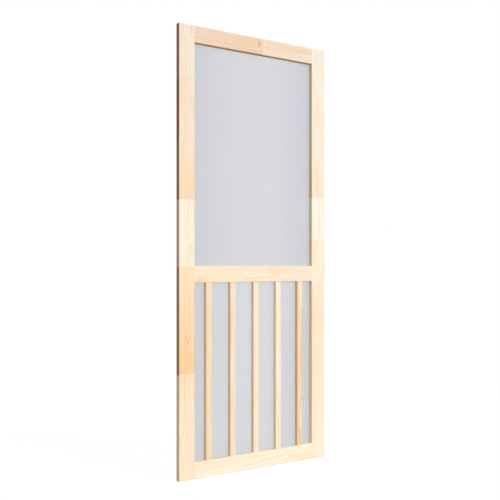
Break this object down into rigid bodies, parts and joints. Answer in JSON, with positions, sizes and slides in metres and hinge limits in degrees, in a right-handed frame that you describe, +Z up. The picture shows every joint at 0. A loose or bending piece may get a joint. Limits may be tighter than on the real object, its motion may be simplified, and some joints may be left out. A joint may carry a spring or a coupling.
{
  "type": "wooden screen door",
  "caption": "Unpainted wooden screen door leaf with a tall screened opening above a middle rail, and upright bars in front of the screen below it.",
  "frame": {"origin": "on the face of the hinge edge, at the foot of the door, in the middle of its thickness", "axes": "+Z up the height, +X across the width from the hinge edge to the latch edge, front of the door towards -Y"},
  "size_m": [0.8128, 0.0254, 2.032],
  "materials": {
    "frame_pine": "planed finger-jointed pine, unfinished",
    "bar_pine": "planed pine with rounded edges, unfinished",
    "screen_yarn": "vinyl-coated woven yarn, open mesh",
    "spline_vinyl": "ribbed soft vinyl cord"
  },
  "bodies": {
    "root": {"hinge_stile": "frame_pine", "latch_stile": "frame_pine", "top_rail": "frame_pine", "mid_rail": "frame_pine", "bottom_rail": "frame_pine", "bar_1": "bar_pine", "bar_2": "bar_pine", "bar_3": "bar_pine", "bar_4": "bar_pine", "bar_5": "bar_pine", "upper_screen": "screen_yarn", "lower_screen": "screen_yarn", "upper_spline_top": "spline_vinyl", "upper_spline_bottom": "spline_vinyl", "upper_spline_left": "spline_vinyl", "upper_spline_right": "spline_vinyl", "lower_spline_top": "spline_vinyl", "lower_spline_bottom": "spline_vinyl", "lower_spline_left": "spline_vinyl", "lower_spline_right": "spline_vinyl"}
  },
  "joints": []
}
